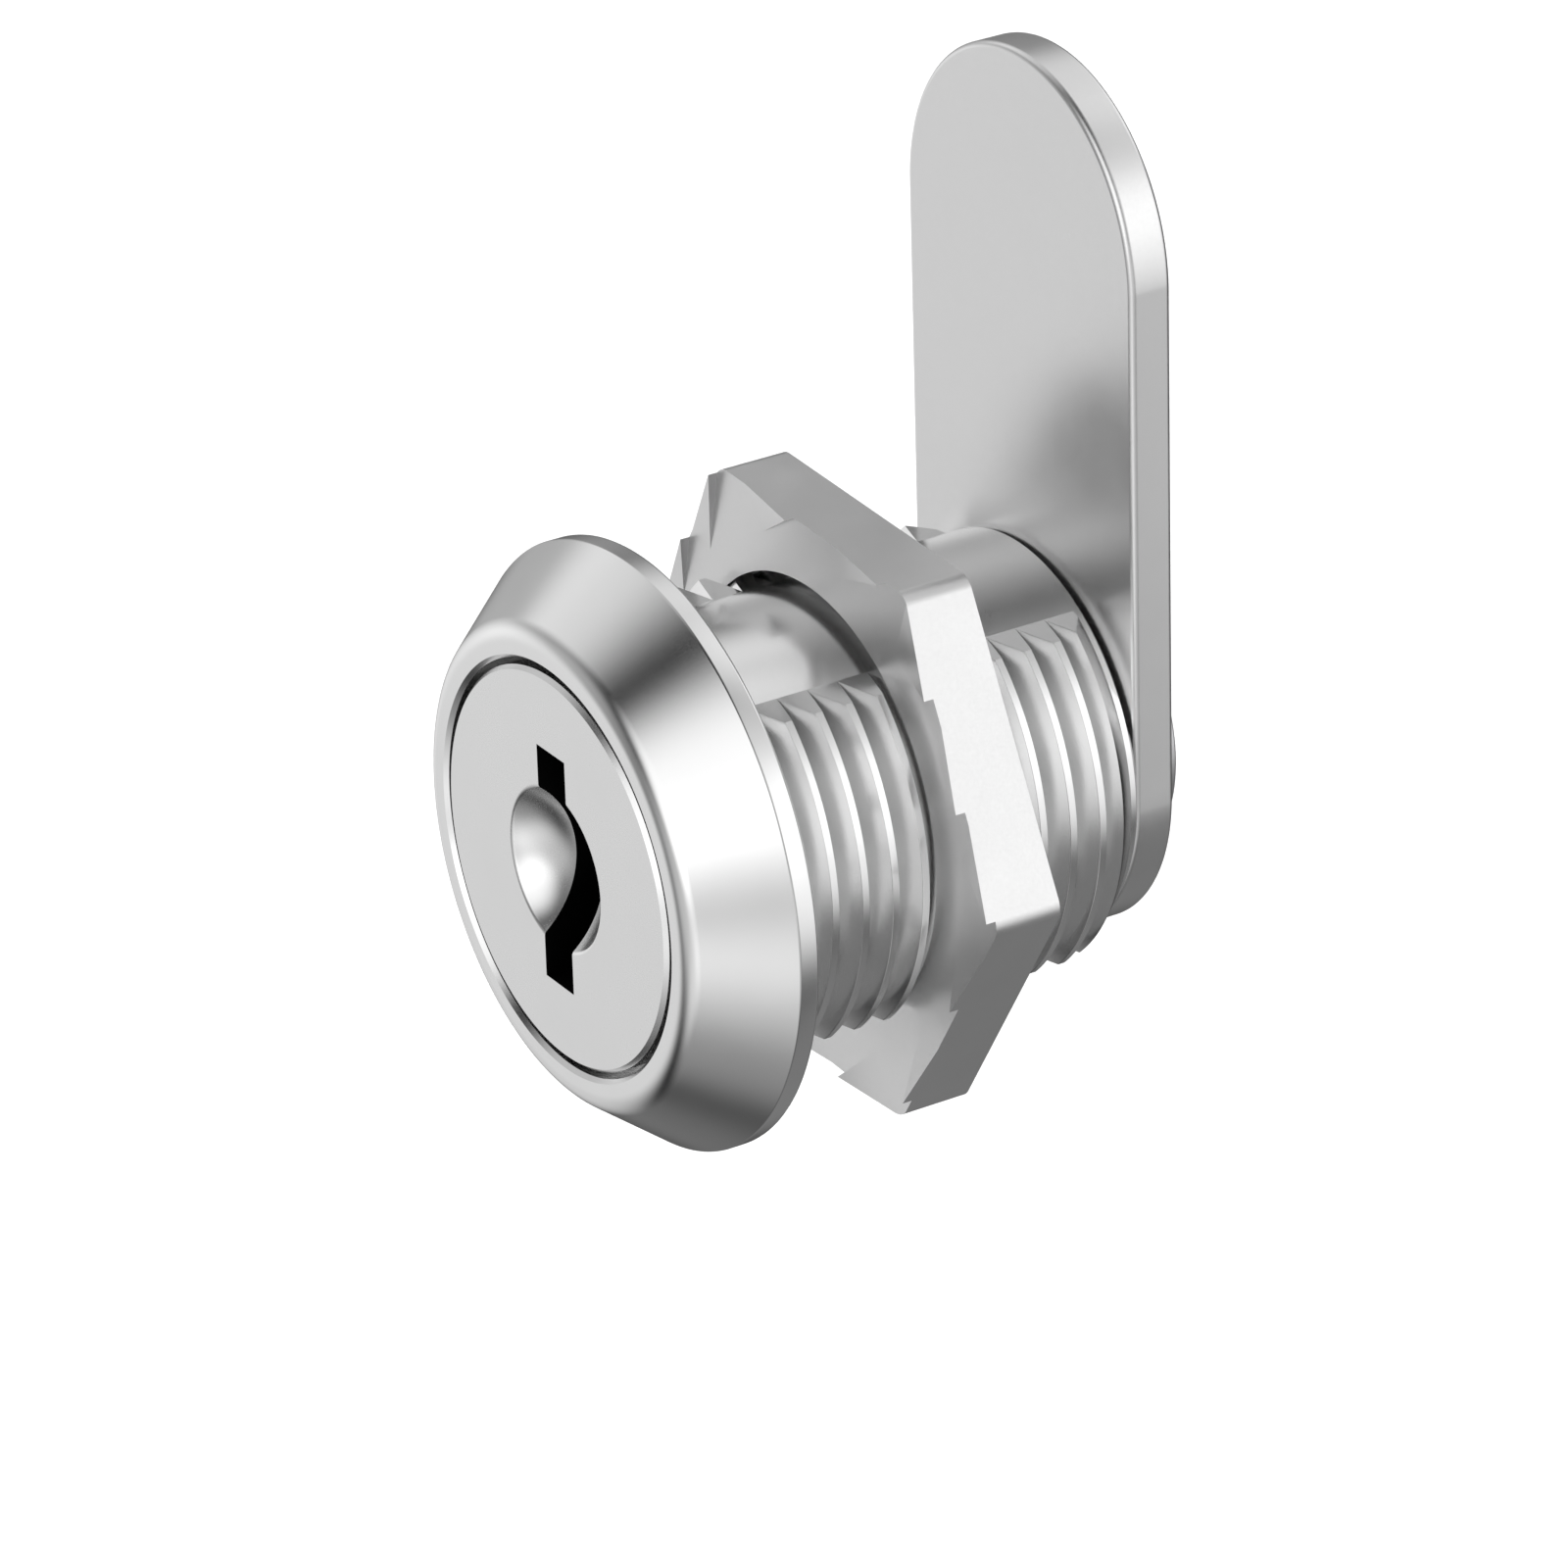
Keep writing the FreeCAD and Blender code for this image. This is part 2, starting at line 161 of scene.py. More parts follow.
def lathe(name: str, outline: Outline, steps: int, closed: bool, sweep: float = 360.0,
          start: float = 90.0) -> bpy.types.Object:
    """Draw an outline point by point and spin it about the lock's axis.

    Args:
        name: Name of the new object.
        outline: Points as (distance from the axis, y).
        steps: Number of segments round the axis.
        closed: Whether the outline ends where it began; an open one starts and ends on the axis.
        sweep: Angle of the spin in degrees.
        start: Angle of the outline, counted from +Z towards +X.

    Returns:
        The spun object.
    """
    deselect()
    bpy.ops.mesh.primitive_plane_add(size=0.1)
    obj = bpy.context.object
    obj.name = name
    bpy.ops.object.mode_set(mode="EDIT")
    bpy.ops.mesh.select_all(action="SELECT")
    bpy.ops.mesh.merge(type="CENTER")
    points = [polar(radius, start, y) for radius, y in outline]
    if closed:
        points.append(points[0])
    bpy.ops.transform.translate(value=points[0])
    for here, there in zip(points, points[1:]):
        bpy.ops.mesh.extrude_region_move(TRANSFORM_OT_translate={"value": there - here})
    bpy.ops.mesh.select_all(action="SELECT")
    bpy.ops.mesh.remove_doubles(threshold=WELD)
    bpy.ops.mesh.spin(steps=steps, angle=math.radians(sweep), center=(0, 0, 0), axis=(0, 1, 0))
    bpy.ops.mesh.select_all(action="SELECT")
    bpy.ops.mesh.remove_doubles(threshold=WELD)
    if sweep < 360:
        bpy.ops.mesh.select_all(action="DESELECT")
        bpy.ops.mesh.select_non_manifold(use_wire=False, use_multi_face=False, use_non_contiguous=False,
                                         use_verts=False)
        bpy.ops.mesh.edge_face_add()
        bpy.ops.mesh.select_all(action="SELECT")
    bpy.ops.mesh.normals_make_consistent(inside=False)
    bpy.ops.object.mode_set(mode="OBJECT")
    return obj


def slab(name: str, low: Sequence[float], high: Sequence[float]) -> bpy.types.Object:
    """Rectangular cutter between two corners.

    Args:
        name: Name of the new object.
        low: Lowest corner.
        high: Highest corner.

    Returns:
        The box.
    """
    deselect()
    centre = [(a + b) / 2 for a, b in zip(low, high)]
    bpy.ops.mesh.primitive_cube_add(size=1, location=centre, scale=[b - a for a, b in zip(low, high)])
    obj = bpy.context.object
    obj.name = name
    bpy.ops.object.transform_apply(location=True, rotation=True, scale=True)
    return obj


def disc(name: str, radius: float, low_y: float, high_y: float, sides: int) -> bpy.types.Object:
    """Upright cylinder about the lock's axis with a corner towards +Z.

    Args:
        name: Name of the new object.
        radius: Distance from the axis to a corner.
        low_y: Face towards the key.
        high_y: Face away from the key.
        sides: Number of corners.

    Returns:
        The cylinder.
    """
    deselect()
    bpy.ops.mesh.primitive_cylinder_add(vertices=sides, radius=radius, depth=high_y - low_y,
                                        location=(0, (low_y + high_y) / 2, 0),
                                        rotation=(-math.pi / 2, 0, 0))
    obj = bpy.context.object
    obj.name = name
    bpy.ops.object.transform_apply(location=True, rotation=True, scale=True)
    return obj


def combine(target: bpy.types.Object, tool: bpy.types.Object, kind: BooleanKind) -> None:
    """Work one solid on another and throw the tool away.

    Args:
        target: The object that keeps the result.
        tool: The other solid.
        kind: Whether to join, to cut or to keep what both hold.
    """
    take(target)
    modifier = target.modifiers.new("combine", "BOOLEAN")
    modifier.operation = kind.value
    modifier.solver = "EXACT"
    modifier.object = tool
    bpy.ops.object.modifier_apply(modifier=modifier.name)
    bpy.data.objects.remove(tool)


def soften(obj: bpy.types.Object, width: float, segments: int, sharper_than: float) -> None:
    """Round every edge that is sharper than an angle.

    Args:
        obj: The object to soften.
        width: Width of the rounding.
        segments: Facets across it.
        sharper_than: Smallest angle between faces that counts, in degrees.
    """
    take(obj)
    modifier = obj.modifiers.new("soften", "BEVEL")
    modifier.width = width
    modifier.segments = segments
    modifier.limit_method = "ANGLE"
    modifier.angle_limit = math.radians(sharper_than)
    modifier.use_clamp_overlap = True
    modifier.miter_outer = "MITER_ARC"
    bpy.ops.object.modifier_apply(modifier=modifier.name)


def finish_piece(obj: bpy.types.Object, body: Body, replaced: Sequence[str],
                 smooth_below: float = 32.0) -> None:
    """Smooth a piece, turn it into metres and hang it on its body.

    Args:
        obj: The finished shape in millimetres.
        body: The body that it moves with.
        replaced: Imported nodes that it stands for.
        smooth_below: Largest angle between faces that is shaded smooth, in degrees.
    """
    clean_up(obj)
    bpy.ops.object.shade_smooth_by_angle(angle=math.radians(smooth_below))
    level = obj.modifiers.new("level", "WEIGHTED_NORMAL")
    level.keep_sharp = True
    bpy.ops.object.modifier_apply(modifier=level.name)
    obj.data.transform(Matrix.Scale(MM, 4))
    obj.data.update()
    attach(obj, body.value)
    if replaced:
        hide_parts(*replaced)
    log.info("%s: %d faces on %s", obj.name, len(obj.data.polygons), body.value)


# ---------------------------------------------------------------- finishes


@dataclass(frozen=True)
class MetalFinish:
    """A plated or bare metal surface with its fine grain.

    Lengths are in millimetres; grain and cloud are the number of repeats in a millimetre.
    """

    name: str
    colour: tuple[float, float, float]
    roughness: float
    roughness_spread: float = 0.04
    grain: float = 12.0
    grain_stretch: tuple[float, float, float] = (1.0, 1.0, 1.0)
    grain_height: float = 0.0004
    cloud: float = 0.35
    cloud_tint: float = 0.04
    cloud_detail: float = 3.0
    grain_detail: float = 6.0
    grain_share: float = 0.55
    scratch: float = 0.0
    scratch_scale: float = 1.6
    scratch_detail: float = 2.0
    scratch_stretch: tuple[float, float, float] = (6.0, 0.25, 6.0)

    def material(self) -> bpy.types.Material:
        """Node material of this finish, made once and shared.

        Returns:
            The material.
        """
        known = bpy.data.materials.get(self.name)
        if known:
            return known
        made = bpy.data.materials.new(self.name)
        made.use_nodes = True
        tree = made.node_tree
        shader = tree.nodes["Principled BSDF"]
        shader.inputs["Metallic"].default_value = 1.0
        place = tree.nodes.new("ShaderNodeTexCoord").outputs["Object"]
        cloud = self._noise(tree, self._stretched(tree, place, (1.0, 1.0, 1.0)), self.cloud,
                            self.cloud_detail)
        tint = tree.nodes.new("ShaderNodeMix")
        tint.data_type = "RGBA"
        tree.links.new(cloud, tint.inputs["Factor"])
        tint.inputs["A"].default_value = (*[c * (1 - self.cloud_tint) for c in self.colour], 1.0)
        tint.inputs["B"].default_value = (*[min(1.0, c * (1 + self.cloud_tint)) for c in self.colour], 1.0)
        tree.links.new(tint.outputs["Result"], shader.inputs["Base Color"])
        grain = self._noise(tree, self._stretched(tree, place, self.grain_stretch), self.grain,
                            self.grain_detail)
        both = self._mixed(tree, cloud, grain, self.grain_share)
        if self.scratch > 0:
            lines = self._noise(tree, self._stretched(tree, place, self.scratch_stretch),
                                self.scratch_scale, self.scratch_detail)
            both = self._mixed(tree, both, lines, self.scratch)
        spread = tree.nodes.new("ShaderNodeMapRange")
        spread.inputs["From Min"].default_value = 0.3
        spread.inputs["From Max"].default_value = 0.7
        spread.inputs["To Min"].default_value = self.roughness - self.roughness_spread
        spread.inputs["To Max"].default_value = self.roughness + self.roughness_spread
        tree.links.new(both, spread.inputs["Value"])
        tree.links.new(spread.outputs["Result"], shader.inputs["Roughness"])
        bump = tree.nodes.new("ShaderNodeBump")
        bump.inputs["Strength"].default_value = 1.0
        bump.inputs["Distance"].default_value = self.grain_height * MM
        tree.links.new(grain, bump.inputs["Height"])
        tree.links.new(bump.outputs["Normal"], shader.inputs["Normal"])
        return made

    @staticmethod
    def _stretched(tree: bpy.types.NodeTree, place: bpy.types.NodeSocket,
                   stretch: tuple[float, float, float]) -> bpy.types.NodeSocket:
        """Object position in millimetres, scaled along each axis."""
        mapping = tree.nodes.new("ShaderNodeMapping")
        mapping.inputs["Scale"].default_value = [s / MM for s in stretch]
        tree.links.new(place, mapping.inputs["Vector"])
        return mapping.outputs["Vector"]

    @staticmethod
    def _noise(tree: bpy.types.NodeTree, vector: bpy.types.NodeSocket, scale: float,
               detail: float) -> bpy.types.NodeSocket:
        """Noise value at a position."""
        noise = tree.nodes.new("ShaderNodeTexNoise")
        noise.inputs["Scale"].default_value = scale
        noise.inputs["Detail"].default_value = detail
        tree.links.new(vector, noise.inputs["Vector"])
        return noise.outputs["Fac"]

    @staticmethod
    def _mixed(tree: bpy.types.NodeTree, first: bpy.types.NodeSocket, second: bpy.types.NodeSocket,
               share: float) -> bpy.types.NodeSocket:
        """Two values mixed, share being the part of the second."""
        mix = tree.nodes.new("ShaderNodeMix")
        mix.data_type = "FLOAT"
        mix.inputs["Factor"].default_value = share
        tree.links.new(first, mix.inputs["A"])
        tree.links.new(second, mix.inputs["B"])
        return mix.outputs["Result"]


HEAD_CHROME = MetalFinish("head_satin_chrome", (0.93, 0.93, 0.93), 0.20, 0.03, grain=18.0,
                          grain_height=0.0001)
PLUG_NICKEL = MetalFinish("plug_satin_nickel", (0.93, 0.93, 0.93), 0.26, 0.03, grain=18.0,
                          grain_height=0.0002)
NUT_NICKEL = MetalFinish("nut_grained_nickel", (0.90, 0.90, 0.90), 0.36, 0.05, grain=9.0,
                         grain_height=0.0012)
CAM_STEEL = MetalFinish("cam_grained_steel", (0.91, 0.91, 0.91), 0.32, 0.05, grain=9.0,
                        grain_height=0.0010, scratch=0.15)
SCREW_STEEL = MetalFinish("screw_bright_steel", (0.88, 0.88, 0.88), 0.22, 0.05, grain=12.0,
                          grain_height=0.0004)
WASHER_STEEL = MetalFinish("washer_spring_steel", (0.70, 0.70, 0.71), 0.34, 0.06, grain=9.0,
                           grain_height=0.0010)
# Near-black finish for the keyway walls: painted shade standing in for the shadow deep in the slot, not the
# metal's own colour.
KEYWAY_PAINTED_SHADE = MetalFinish("keyway_painted_shade", (0.012, 0.012, 0.012), 0.55, 0.08, grain=6.0,
                          grain_height=0.0010)
WAFER_BRASS = MetalFinish("wafer_punched_brass", (0.80, 0.62, 0.30), 0.30, 0.06, grain=8.0,
                          grain_height=0.0012, scratch=0.3)
SPRING_BRONZE = MetalFinish("spring_drawn_bronze", (0.72, 0.47, 0.27), 0.24, 0.05, grain=14.0,
                            grain_height=0.0006)


def dress(obj: bpy.types.Object, *finishes: MetalFinish) -> None:
    """Give an object its finishes in slot order.

    Args:
        obj: The object to dress.
        finishes: One finish for each of its material slots.
    """
    obj.data.materials.clear()
    for finish in finishes:
        obj.data.materials.append(finish.material())


# ---------------------------------------------------------------- pieces


@dataclass
class Thread:
    """Thread ridges shared by the barrel and the nut."""

    core_radius: float = 7.99
    crest_radius: float = 9.15
    pitch: float = 1.31
    start_y: float = 0.41
    turns: int = 12
    crest_flat: float = 0.28
    crest_drop: float = 0.02
    root_gap: float = 0.004
    root_lift: float = 0.02

    def outline(self, inner: float, grow: float) -> Outline:
        """Closed outline of all ridges in a row.

        Args:
            inner: Distance of the outline's straight side from the axis.
            grow: Clearance added all round the ridges.

        Returns:
            The points of the outline.
        """
        half = self.pitch / 2 - self.root_gap
        flat = self.crest_flat / 2 + grow
        crest = self.crest_radius + grow
        root = self.core_radius + self.root_lift
        points = []
        for turn in range(self.turns):
            middle = self.start_y + self.pitch * (turn + 0.5)
            points += [(root, middle - half), (crest - self.crest_drop, middle - flat - self.crest_drop),
                       (crest, middle - flat), (crest, middle + flat),
                       (crest - self.crest_drop, middle + flat + self.crest_drop), (root, middle + half)]
        return [(inner, points[0][1])] + points + [(inner, points[-1][1])]


@dataclass
class Housing:
    """Die-cast head and threaded barrel."""

    thread: Thread
    ring_radius: float = 9.25
    ring_fillet: float = 0.55
    recess_radius: float = 8.09
    recess_depth: float = 2.14
    bore_radius: float = 6.25
    rim_thickness: float = 0.94
    seat_inner_radius: float = 9.30
    seat_relief_depth: float = 0.15
    edge_break: float = 0.16
    thread_half_height: float = 6.73
    run_out: float = 1.9
    ridge_root: float = 0.5
    end_margin: float = 0.2
    channel_radius: float = 7.15
    channel_half_width: float = 3.40
    groove_radius: float = 7.00
    groove_clearance: float = 0.10
    steps: int = 288

    def head_outline(self) -> Outline:
        """Outline of the head and the smooth barrel.

        Returns:
            The points of the closed outline.
        """
        low, high = cad_span("housing")
        face, end, rim = low.y, high.y, high.x
        rim_y = -self.rim_thickness
        edge = self.edge_break
        core = self.thread.core_radius
        slope = math.degrees(math.atan2(rim_y - face, rim - edge - self.ring_radius))
        fillet = self.ring_fillet / math.tan(math.radians(slope / 2))
        centre = (self.ring_radius - self.ring_fillet, face + fillet)
        return [
            (self.bore_radius, face + self.recess_depth),
            (self.recess_radius, face + self.recess_depth),
            (self.recess_radius, face + edge),
            (self.recess_radius + edge, face),
            *arc(centre, fillet, -90, slope - 90, 9),
            *arc((rim - edge, rim_y + edge), edge, slope - 90, 0, 5),
            *arc((rim - edge, -edge), edge, 0, 90, 5),
            (self.seat_inner_radius, 0.0),
            (self.seat_inner_radius, -self.seat_relief_depth),
            (core, -self.seat_relief_depth),
            (core, end - edge),
            (core - edge, end),
            (self.bore_radius, end),
        ]

    def make(self) -> bpy.types.Object:
        """Model the housing and hang it on its body.

        Returns:
            The finished piece.
        """
        shell = lathe("housing_casting", self.head_outline(), self.steps, closed=True)
        core, crest = self.thread.core_radius, self.thread.crest_radius
        ridges = lathe("ridges", self.thread.outline(core - self.ridge_root, 0.0), self.steps, closed=True)
        self._flatten(ridges)
        end = cad_span("housing")[1].y
        tip = end - self.end_margin
        envelope = lathe("envelope", [(0, -OVERRUN), (crest + OVERRUN, -OVERRUN),
                                      (crest + OVERRUN, end - self.run_out - OVERRUN), (core, tip),
                                      (0, tip)], self.steps, closed=False)
        combine(ridges, envelope, BooleanKind.KEEP_COMMON)
        combine(shell, ridges, BooleanKind.UNION)
        self._cut_wafer_channels(shell)
        dress(shell, HEAD_CHROME)
        finish_piece(shell, Body.HOUSING, ["housing"])
        return shell

    def _cut_wafer_channels(self, shell: bpy.types.Object) -> None:
        """Cut the crossed channels of the wafers and the retaining wafer's groove into the bore."""
        first, last = cad_span("wafer_1"), cad_span("wafer_8")
        margin = (last[0].y - first[0].y) / 14  # half of the eight wafers' pitch
        start = (first[0].y + first[1].y) / 2 - margin
        end = (last[0].y + last[1].y) / 2 + margin
        half, wide = self.channel_half_width, self.channel_radius + OVERRUN
        for half_x, half_z in ((half, wide), (wide, half)):
            channel = slab("channel", (-half_x, start, -half_z), (half_x, end, half_z))
            combine(channel, disc("limit", self.channel_radius, start - OVERRUN, end + OVERRUN, 96),
                    BooleanKind.KEEP_COMMON)
            combine(shell, channel, BooleanKind.CUT)
        low, high = cad_span("retaining_wafer")
        combine(shell, disc("groove", self.groove_radius, low.y - self.groove_clearance,
                            high.y + self.groove_clearance, 96), BooleanKind.CUT)

    def _flatten(self, ridges: bpy.types.Object) -> None:
        """Cut the ridges off above and below, so that only the two sides are threaded."""
        take(ridges)
        bpy.ops.object.mode_set(mode="EDIT")
        for side in (1, -1):
            bpy.ops.mesh.select_all(action="SELECT")
            bpy.ops.mesh.bisect(plane_co=(0, 0, side * self.thread_half_height), plane_no=(0, 0, side),
                                use_fill=True, clear_outer=True)
        bpy.ops.object.mode_set(mode="OBJECT")


@dataclass
class Plug:
    """Key plug with its dimpled face, keyway, wafer slots and square tail."""

    flange_radius: float = 7.84
    plug_radius: float = 6.20
    flange_thickness: float = 2.10
    edge_break: float = 0.16
    dimple_radius: float = 3.20
    dimple_depth: float = 1.63
    lip_radius: float = 0.22
    keyway_width: float = 1.99
    keyway_height: float = 9.60
    keyway_end_y: float = 12.0
    tail_half_width: float = 3.30
    tail_root: float = 0.5
    screw_hole_radius: float = 2.50
    screw_hole_end_y: float = 14.20
    slot_clearance: float = 0.05
    pocket_radius: float = 0.70
    pocket_margin: float = 0.1
    press_room: float = 0.85
    lift_room: float = 1.9
    ear_overlap: float = 0.2
    ear_reach: float = 1.01
    wall_margin: float = 0.01
    steps: int = 288

    def outline(self) -> Outline:
        """Outline from the bottom of the dimple round to the plug's rear."""
        face = cad_span("plug")[0].y
        shoulder = cad_span("cam")[0].y
        ball = (self.dimple_radius ** 2 + self.dimple_depth ** 2) / (2 * self.dimple_depth)
        ball_y = face + self.dimple_depth - ball
        lip_y = face + self.lip_radius
        lip_x = math.sqrt((ball + self.lip_radius) ** 2 - (lip_y - ball_y) ** 2)
        lip_angle = math.degrees(math.atan2(lip_y - ball_y, lip_x))
        edge = self.edge_break
        return [
            *arc((0, ball_y), ball, 90, lip_angle, 33),
            *arc((lip_x, lip_y), self.lip_radius, lip_angle + 180, 270, 8)[1:],
            (self.flange_radius - edge, face),
            (self.flange_radius, face + edge),
            (self.flange_radius, face + self.flange_thickness),
            (self.plug_radius, face + self.flange_thickness),
            (self.plug_radius, shoulder),
            (0, shoulder),
        ]

    def make(self) -> bpy.types.Object:
        """Model the plug and hang it on its body.

        Returns:
            The finished piece.
        """
        low, high = cad_span("plug")
        plug = lathe("key_plug", self.outline(), self.steps, closed=False)
        half = self.tail_half_width
        shoulder = cad_span("cam")[0].y
        tail = slab("tail", (-half, shoulder - self.tail_root, -half), (half, high.y, half))
        combine(plug, tail, BooleanKind.UNION)
        combine(plug, slab("keyway", (-self.keyway_width / 2, low.y - OVERRUN, -self.keyway_height / 2),
                           (self.keyway_width / 2, self.keyway_end_y, self.keyway_height / 2)),
                BooleanKind.CUT)
        for number in range(1, 9):
            self._cut_wafer_room(plug, "wafer_%d" % number, "wafer_spring_%d" % number)
        self._cut_wafer_room(plug, "retaining_wafer", "retaining_spring")
        combine(plug, disc("hole", self.screw_hole_radius, self.screw_hole_end_y, high.y + OVERRUN, 96),
                BooleanKind.CUT)
        # The second slot is the near-black painted shade for the keyway walls.
        dress(plug, PLUG_NICKEL, KEYWAY_PAINTED_SHADE)
        self._paint_keyway_shade(plug)
        finish_piece(plug, Body.PLUG, ["plug"])
        return plug

    def _cut_wafer_room(self, plug: bpy.types.Object, wafer: str, spring: str) -> None:
        """Cut the slot of one wafer and the pocket of its spring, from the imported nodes' places."""
        low, high = cad_span(wafer)
        spring_low, spring_high = cad_span(spring)
        gap = self.slot_clearance
        side = min(abs(low.x), abs(high.x)) + gap
        centre = (spring_low + spring_high) / 2
        from_below = centre.z < (low.z + high.z) / 2
        reach = self.plug_radius + OVERRUN
        cuts_through = low.z < -self.plug_radius / 2
        bottom = -reach if cuts_through else low.z - self.press_room
        combine(plug, slab("slot", (-side, low.y - gap, bottom), (side, high.y + gap, reach)),
                BooleanKind.CUT)
        ear_z = spring_high.z if from_below else spring_low.z
        has_ear = abs(centre.x) > self.pocket_radius
        if has_ear:
            near, far = sorted((math.copysign(side - self.ear_overlap, centre.x),
                                max(low.x, high.x, key=abs) * self.ear_reach))
            lift = self.lift_room if from_below else -self.lift_room
            z_low, z_high = sorted((ear_z - math.copysign(gap, lift), ear_z + lift))
            combine(plug, slab("ear", (near, low.y - gap, z_low), (far, high.y + gap, z_high)),
                    BooleanKind.CUT)
        deselect()
        depth = spring_high.z - spring_low.z + self.pocket_margin
        bpy.ops.mesh.primitive_cylinder_add(vertices=48, radius=self.pocket_radius, depth=depth,
                                            location=centre)
        pocket = bpy.context.object
        bpy.ops.object.transform_apply(location=True, rotation=True, scale=True)
        combine(plug, pocket, BooleanKind.CUT)

    def _paint_keyway_shade(self, plug: bpy.types.Object) -> None:
        """Paint shade on the walls of the keyway with the near-black finish."""
        margin = self.wall_margin
        for polygon in plug.data.polygons:
            place = polygon.center
            across = abs(place.x) < self.keyway_width / 2 + margin
            tall = abs(place.z) < self.keyway_height / 2 + margin
            deep = place.y < self.keyway_end_y + margin
            faces_sideways = abs(polygon.normal.y) < 0.2
            if across and tall and deep and faces_sideways:
                # These faces get the painted shade.
                polygon.material_index = 1


@dataclass
class Nut:
    """Hexagonal fixing nut with ratchet teeth towards the panel."""

    thread: Thread
    across_flats: float = 22.1
    turned: float = 2.4
    corner_radius: float = 0.80
    tooth_height: float = 0.40
    apex_radius: float = 10.15
    apex_lag: float = 13.0
    start_lag: float = 16.5
    overrun: float = 1.6
    tooth_root: float = 0.2
    blank_overrun: float = 0.7
    minor_radius: float = 8.62
    groove_root: float = 0.3
    thread_clearance: float = 0.10
    edge_softness: float = 0.05
    odd_sides: tuple[float, ...] = (24.0, 55.0)
    even_sides: tuple[float, ...] = (17.5, 39.5, 58.5)
    steps: int = 192

    def edge_radius(self, angle: float) -> float:
        """Distance to the hexagon at an angle counted from its first corner."""
        return self.across_flats / 2 / math.cos(math.radians(angle % 60 - 30))

    def make(self) -> bpy.types.Object:
        """Model the nut and hang it on its body.

        Returns:
            The finished piece.
        """
        low, high = cad_span("nut")
        base_y = low.y + self.tooth_height
        first = self.turned - 30
        nut = disc("fixing_nut", self.across_flats * self.blank_overrun, base_y, high.y, 64)
        for side in range(6):
            for offset in (self.odd_sides, self.even_sides)[side % 2]:
                combine(nut, self._tooth(first + 60 * side, offset, base_y), BooleanKind.UNION)
        combine(nut, self._envelope(first, low.y - OVERRUN, high.y), BooleanKind.KEEP_COMMON)
        combine(nut, disc("bore", self.minor_radius, low.y - OVERRUN, high.y + OVERRUN, self.steps),
                BooleanKind.CUT)
        root = self.thread.core_radius - self.groove_root
        outline = self.thread.outline(root, self.thread_clearance)
        grooves = lathe("grooves", outline, self.steps, closed=True)
        combine(nut, grooves, BooleanKind.CUT)
        soften(nut, self.edge_softness, 2, 28.0)
        dress(nut, NUT_NICKEL)
        finish_piece(nut, Body.NUT, ["nut"])
        return nut

    def _envelope(self, first: float, low_y: float, high_y: float) -> bpy.types.Object:
        """Tall hexagonal prism with rounded corners."""
        prism = disc("envelope", self.edge_radius(0), low_y, high_y, 6)
        prism.data.transform(Matrix.Rotation(math.radians(first), 4, "Y"))
        take(prism)
        bpy.ops.object.mode_set(mode="EDIT")
        bpy.ops.mesh.select_mode(type="EDGE")
        bpy.ops.mesh.select_all(action="DESELECT")
        bpy.ops.object.mode_set(mode="OBJECT")
        for edge in prism.data.edges:
            ends = [prism.data.vertices[v].co for v in edge.vertices]
            edge.select = abs(ends[0].y - ends[1].y) > self.tooth_height
        bpy.ops.object.mode_set(mode="EDIT")
        setback = self.corner_radius * math.tan(math.radians(30))
        bpy.ops.mesh.bevel(offset=setback, segments=8)
        bpy.ops.mesh.select_mode(type="VERT")
        bpy.ops.object.mode_set(mode="OBJECT")
        return prism

    def _tooth(self, first: float, offset: float, base_y: float) -> bpy.types.Object:
        """One ramp that climbs to the nut's edge and ends in a steep wall."""
        crest = first + offset
        apex = polar(self.apex_radius, crest - self.apex_lag, base_y)
        start = polar(self.edge_radius(offset - self.start_lag), crest - self.start_lag, base_y)
        foot = polar(self.edge_radius(offset), crest, base_y)
        start = apex + (start - apex) * self.overrun
        foot = apex + (foot - apex) * self.overrun
        peak = foot - Vector((0, self.tooth_height * self.overrun, 0))
        down = Vector((0, self.tooth_root, 0))
        deselect()
        bpy.ops.mesh.primitive_cylinder_add(vertices=3, radius=1, depth=1)
        tooth = bpy.context.object
        lower = [v for v in tooth.data.vertices if v.co.z < 0]
        for vertex in lower:
            angle = math.atan2(vertex.co.x, vertex.co.y)
            upper = next(v for v in tooth.data.vertices
                         if v.co.z > 0 and (v.co.xy - vertex.co.xy).length < 0.01)
            corner = (apex, start, foot)[round(angle / (2 * math.pi / 3)) % 3]
            top = peak if corner is foot else corner
            vertex.co = corner + down
            upper.co = top
        clean_up(tooth)
        return tooth


